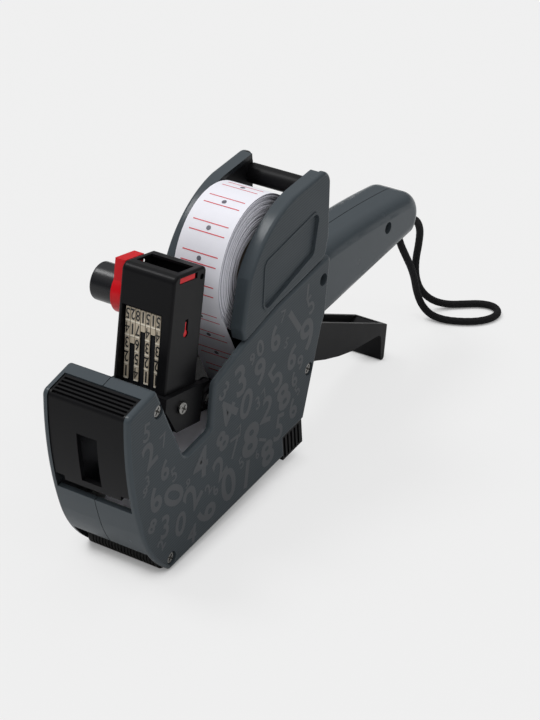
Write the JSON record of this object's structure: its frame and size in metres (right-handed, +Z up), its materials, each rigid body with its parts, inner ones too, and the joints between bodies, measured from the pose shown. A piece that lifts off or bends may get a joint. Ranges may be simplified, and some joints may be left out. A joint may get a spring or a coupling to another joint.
{
  "type": "label printing machine",
  "caption": "Hand-held label printing machine with a squeeze trigger, digit bands, ink roller, label roll and wrist strap.",
  "frame": {"origin": "floor point under the middle of the machine, wrist strap left out, as it stands on its front roller and the lip of its trigger", "axes": "+X to the nose where the label comes out, +Y to the user's left, +Z up"},
  "size_m": [0.2736, 0.064, 0.1246],
  "materials": {
    "casing_plastic": "satin slate grey",
    "black_plastic": "satin black",
    "knob_plastic": "satin near-black",
    "red_plastic": "glossy red",
    "steel": "bright drawn steel",
    "screw_steel": "bright plated",
    "label_paper": "matt white",
    "backing_paper": "matt, slightly waxy",
    "card": "plain card",
    "roller_rubber": "matt black",
    "ink_felt": "matt, ink-soaked",
    "wheel_plastic": "plain ivory",
    "band_rubber": "matt cream",
    "type_anvil_plastic": "plain grey",
    "strap_cord": "braided black"
  },
  "bodies": {
    "casing": {"left_shell": "casing_plastic", "right_shell": "casing_plastic", "casing_screws": "screw_steel", "pivot_sleeve": "steel", "roller_sleeve": "steel", "label_guide": "black_plastic", "platen": "black_plastic", "platen_pad": "roller_rubber", "peel_plate": "steel", "label_strip": "label_paper", "backing_strip": "backing_paper", "feed_axle": "steel", "ink_arm_pin": "steel", "left_roll_holder": "black_plastic", "right_roll_holder": "black_plastic", "return_spring": "steel", "ink_arm_spring": "steel", "strap_pin": "steel", "wrist_strap": "strap_cord"},
    "lever": {"trigger_lever": "black_plastic", "head_carrier": "black_plastic", "carrier_rivets": "steel", "head_screws": "screw_steel", "head_housing": "black_plastic", "wheel_detent": "red_plastic", "type_anvil": "type_anvil_plastic", "digit_band_1": "band_rubber", "digit_band_2": "band_rubber", "digit_band_3": "band_rubber", "digit_band_4": "band_rubber", "digit_band_5": "band_rubber", "digit_band_6": "band_rubber", "digit_band_7": "band_rubber"},
    "ink_arm": {"ink_arm": "black_plastic"},
    "ink_roller": {"ink_roller": "ink_felt", "ink_roller_core": "black_plastic"},
    "selector_slider": {"selector_slider": "red_plastic"},
    "selector_knob": {"selector_knob": "knob_plastic"},
    "label_roll": {"label_roll": "label_paper", "roll_core": "card"},
    "feed_wheel": {"feed_wheel": "wheel_plastic"},
    "feed_pawl": {"feed_pawl": "black_plastic"},
    "applicator_roller": {"applicator_roller": "roller_rubber"},
    "front_cover": {"front_cover": "black_plastic"},
    "label_cover": {"label_cover_frame": "black_plastic", "left_cover_cap": "casing_plastic", "right_cover_cap": "casing_plastic"},
    "bottom_cover": {"bottom_cover": "black_plastic"},
    "band_wheel_1": {"band_wheel_1": "wheel_plastic"},
    "band_wheel_2": {"band_wheel_2": "wheel_plastic"},
    "band_wheel_3": {"band_wheel_3": "wheel_plastic"},
    "band_wheel_4": {"band_wheel_4": "wheel_plastic"},
    "band_wheel_5": {"band_wheel_5": "wheel_plastic"},
    "band_wheel_6": {"band_wheel_6": "wheel_plastic"},
    "band_wheel_7": {"band_wheel_7": "wheel_plastic"}
  },
  "joints": [
    {"name": "trigger_pivot", "type": "hinge", "parent": "casing", "child": "lever", "pos_m": [-0.00805, 0.0043, 0.04011], "axis": [0, 1, 0], "range_deg": [0, 16], "stiffness_Nm_per_rad": 1.5, "springref_deg": -14.32},
    {"name": "ink_arm_swing", "type": "hinge", "parent": "casing", "child": "ink_arm", "pos_m": [0.09487, 0.0043, 0.05822], "axis": [0, 1, 0], "range_deg": [-61, 0]},
    {"name": "ink_roller_spin", "type": "hinge", "parent": "ink_arm", "child": "ink_roller", "pos_m": [0.07952, 0.0043, 0.04544], "axis": [0, 1, 0], "continuous": true},
    {"name": "selector_travel", "type": "slide", "parent": "lever", "child": "selector_slider", "axis": [0, -1, 0], "range_m": [0, 0.0139]},
    {"name": "selector_turn", "type": "hinge", "parent": "selector_slider", "child": "selector_knob", "pos_m": [0.06444, 0.00215, 0.10028], "axis": [0, 1, 0], "continuous": true},
    {"name": "label_roll_spin", "type": "hinge", "parent": "casing", "child": "label_roll", "pos_m": [0.01588, 0.0043, 0.0956], "axis": [0, 1, 0], "continuous": true},
    {"name": "feed_wheel_spin", "type": "hinge", "parent": "casing", "child": "feed_wheel", "pos_m": [0.03497, 0.0043, 0.01709], "axis": [0, 1, 0], "continuous": true},
    {"name": "feed_pawl_swing", "type": "hinge", "parent": "casing", "child": "feed_pawl", "pos_m": [0.03497, 0.0043, 0.01709], "axis": [0, 1, 0], "range_deg": [-40, 0]},
    {"name": "applicator_spin", "type": "hinge", "parent": "casing", "child": "applicator_roller", "pos_m": [0.09055, 0.0043, 0.0053], "axis": [0, 1, 0], "continuous": true},
    {"name": "front_cover_hinge", "type": "hinge", "parent": "casing", "child": "front_cover", "pos_m": [0.10792, 0.0043, 0.04702], "axis": [0, 1, 0], "range_deg": [0, 75]},
    {"name": "label_cover_hinge", "type": "hinge", "parent": "casing", "child": "label_cover", "pos_m": [-0.01615, 0.0043, 0.09103], "axis": [0, 1, 0], "range_deg": [-65, 0]},
    {"name": "bottom_cover_hinge", "type": "hinge", "parent": "casing", "child": "bottom_cover", "pos_m": [0.08057, 0.0043, 0.00489], "axis": [0, 1, 0], "range_deg": [-60, 0]},
    {"name": "band_wheel_1_spin", "type": "hinge", "parent": "lever", "child": "band_wheel_1", "pos_m": [0.06444, 0.00215, 0.10028], "axis": [0, 1, 0], "continuous": true},
    {"name": "band_wheel_2_spin", "type": "hinge", "parent": "lever", "child": "band_wheel_2", "pos_m": [0.06444, 0.00215, 0.10028], "axis": [0, 1, 0], "continuous": true},
    {"name": "band_wheel_3_spin", "type": "hinge", "parent": "lever", "child": "band_wheel_3", "pos_m": [0.06444, 0.00215, 0.10028], "axis": [0, 1, 0], "continuous": true},
    {"name": "band_wheel_4_spin", "type": "hinge", "parent": "lever", "child": "band_wheel_4", "pos_m": [0.06444, 0.00215, 0.10028], "axis": [0, 1, 0], "continuous": true},
    {"name": "band_wheel_5_spin", "type": "hinge", "parent": "lever", "child": "band_wheel_5", "pos_m": [0.06444, 0.00215, 0.10028], "axis": [0, 1, 0], "continuous": true},
    {"name": "band_wheel_6_spin", "type": "hinge", "parent": "lever", "child": "band_wheel_6", "pos_m": [0.06444, 0.00215, 0.10028], "axis": [0, 1, 0], "continuous": true},
    {"name": "band_wheel_7_spin", "type": "hinge", "parent": "lever", "child": "band_wheel_7", "pos_m": [0.06444, 0.00215, 0.10028], "axis": [0, 1, 0], "continuous": true}
  ],
  "couplings": [
    {"joint": "ink_arm_swing", "follows": "trigger_pivot", "ratio": -3.81},
    {"joint": "feed_pawl_swing", "follows": "trigger_pivot", "ratio": -2.5},
    {"joint": "band_wheel_7_spin", "follows": "selector_turn", "ratio": 1}
  ]
}
